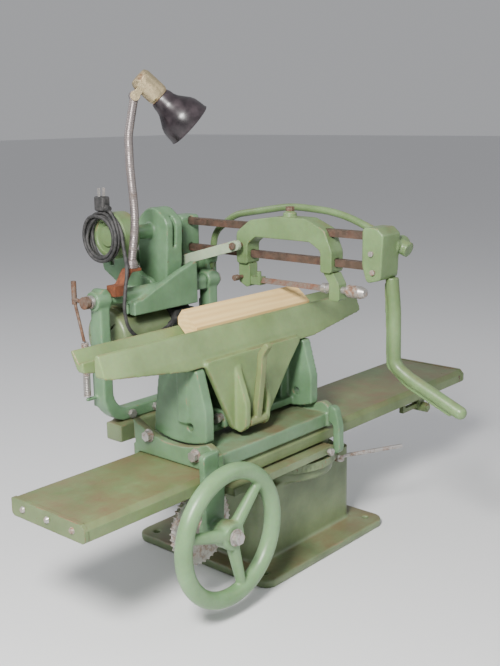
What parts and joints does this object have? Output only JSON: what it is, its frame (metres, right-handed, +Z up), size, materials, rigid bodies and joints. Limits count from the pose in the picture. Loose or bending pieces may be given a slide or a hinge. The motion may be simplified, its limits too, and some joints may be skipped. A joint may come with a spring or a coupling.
{
  "type": "saw filing machine",
  "caption": "Cast iron saw filing machine with swivelling bed, handwheel carriage, tilting saw vise, hinged reciprocating file head, motor and gooseneck lamp.",
  "frame": {"origin": "middle of the swivel axis at the underside of the pedestal foot, where the machine stands", "axes": "+X along the bed, away from the handwheel end; -Y towards the operator; +Z up"},
  "size_m": [1.1632, 0.781, 0.9336],
  "materials": {
    "green_casting": "worn green paint on cast iron",
    "green_steel": "green paint on steel",
    "rusty_steel": "bare steel with brown rust",
    "bright_steel": "dull bare steel",
    "file_steel": "cut file steel",
    "black_enamel": "black enamel",
    "neck_metal": "dull grey flexible neck",
    "cream_shell": "pale worn brass shell",
    "bulb_glass": "frosted glass",
    "black_plastic": "black moulded plastic",
    "black_rubber": "black rubber cord",
    "pine_wood": "bare pale softwood"
  },
  "bodies": {
    "base": {"pedestal": "green_casting", "head_fork": "green_casting", "fork_bolts": "bright_steel", "pivot_pins": "bright_steel"},
    "bed": {"swivel_disc": "green_casting", "bed_table": "green_steel", "bed_end_left": "green_steel", "bed_end_right": "green_steel", "bed_end_screws": "bright_steel", "bed_foot": "green_casting", "bed_rack": "bright_steel"},
    "swivel_lock": {"swivel_clamp": "bright_steel"},
    "carriage": {"saddle": "green_casting", "saddle_arm": "green_casting", "saddle_gib": "green_casting", "saddle_bolts": "bright_steel", "wheel_bracket": "green_casting"},
    "wheel": {"handwheel": "green_casting", "drive_gear": "bright_steel", "wheel_nut": "bright_steel"},
    "cradle": {"vise_cradle": "green_casting", "vise_rod": "bright_steel", "rear_jaw": "green_casting", "wood_board": "pine_wood"},
    "jaw": {"front_jaw": "green_casting"},
    "jaw_lever": {"clamp_lever": "rusty_steel"},
    "head": {"head_casting": "green_casting", "rail_upper": "rusty_steel", "rail_lower": "rusty_steel", "front_casting": "green_casting", "rail_screws": "bright_steel", "head_bow": "green_steel", "head_handle": "green_casting", "motor": "green_steel", "motor_bell": "green_steel", "motor_cap": "black_enamel", "motor_terminal": "black_enamel", "belt_guard": "green_steel", "lamp_bracket": "rusty_steel", "spring_arm": "rusty_steel", "head_spring": "bright_steel", "cord_coil": "black_rubber", "power_cord": "black_rubber", "cord_plug": "black_plastic"},
    "crank": {"crank_disc": "green_casting"},
    "stroke": {"yoke": "green_casting", "yoke_nut": "rusty_steel", "file_leg_rear": "green_casting", "file_leg_front": "green_casting", "file": "file_steel", "file_spindle": "bright_steel", "yoke_screws": "rusty_steel"},
    "chuck": {"file_chuck": "bright_steel"},
    "rod": {"connecting_rod": "green_steel"},
    "neck": {"gooseneck": "neck_metal"},
    "lamp": {"lamp_socket": "cream_shell", "lamp_shade": "black_enamel", "lamp_bulb": "bulb_glass", "lamp_switch": "black_plastic"}
  },
  "joints": [
    {"name": "bed_swivel", "type": "hinge", "parent": "base", "child": "bed", "pos_m": [0, 0, 0.18], "axis": [0, 0, 1], "range_deg": [-12, 12]},
    {"name": "swivel_lock_turn", "type": "hinge", "parent": "bed", "child": "swivel_lock", "pos_m": [0.082, -0.086, 0.172], "axis": [0, 0, 1], "range_deg": [-30, 20]},
    {"name": "carriage_slide", "type": "slide", "parent": "bed", "child": "carriage", "axis": [1, 0, 0], "range_m": [-0.2, 0.13]},
    {"name": "wheel_spin", "type": "hinge", "parent": "carriage", "child": "wheel", "pos_m": [-0.31, -0.142, 0.156], "axis": [0, 1, 0], "range_deg": [-107, 164]},
    {"name": "vise_tilt", "type": "hinge", "parent": "carriage", "child": "cradle", "pos_m": [-0.124, 0, 0.484], "axis": [1, 0, 0], "range_deg": [-8, 8]},
    {"name": "jaw_open", "type": "hinge", "parent": "cradle", "child": "jaw", "pos_m": [-0.14, -0.028, 0.316], "axis": [1, 0, 0], "range_deg": [0, 4]},
    {"name": "jaw_lever_turn", "type": "hinge", "parent": "jaw", "child": "jaw_lever", "pos_m": [-0.151, -0.066, 0.306], "axis": [1, 0, 0], "range_deg": [0, 50]},
    {"name": "head_tilt", "type": "hinge", "parent": "base", "child": "head", "pos_m": [-0.119, 0.219, 0.512], "axis": [-1, 0, 0], "range_deg": [0, 25], "deforming": ["head_spring"]},
    {"name": "crank_spin", "type": "hinge", "parent": "head", "child": "crank", "pos_m": [-0.06, 0.352, 0.556], "axis": [1, 0, 0], "continuous": true},
    {"name": "file_stroke", "type": "slide", "parent": "head", "child": "stroke", "axis": [0, 1, 0], "range_m": [-0.03, 0.03]},
    {"name": "chuck_turn", "type": "hinge", "parent": "stroke", "child": "chuck", "pos_m": [0.02, -0.16, 0.528], "axis": [0, 1, 0], "continuous": true},
    {"name": "rod_swing", "type": "hinge", "parent": "stroke", "child": "rod", "pos_m": [-0.017, 0.1, 0.597], "axis": [1, 0, 0], "range_deg": [0, 13]},
    {"name": "lamp_swivel", "type": "hinge", "parent": "head", "child": "neck", "pos_m": [-0.196, 0.206, 0.57], "axis": [0, 0, 1], "range_deg": [-60, 60]},
    {"name": "lamp_tilt", "type": "hinge", "parent": "neck", "child": "lamp", "pos_m": [-0.172, 0.206, 0.886], "axis": [0.5733, 0.8194, 0], "range_deg": [-15, 25]}
  ],
  "couplings": [
    {"joint": "wheel_spin", "follows": "carriage_slide", "rad_per_m": -14.286},
    {"joint": "jaw_open", "follows": "jaw_lever_turn", "ratio": 0.08}
  ]
}
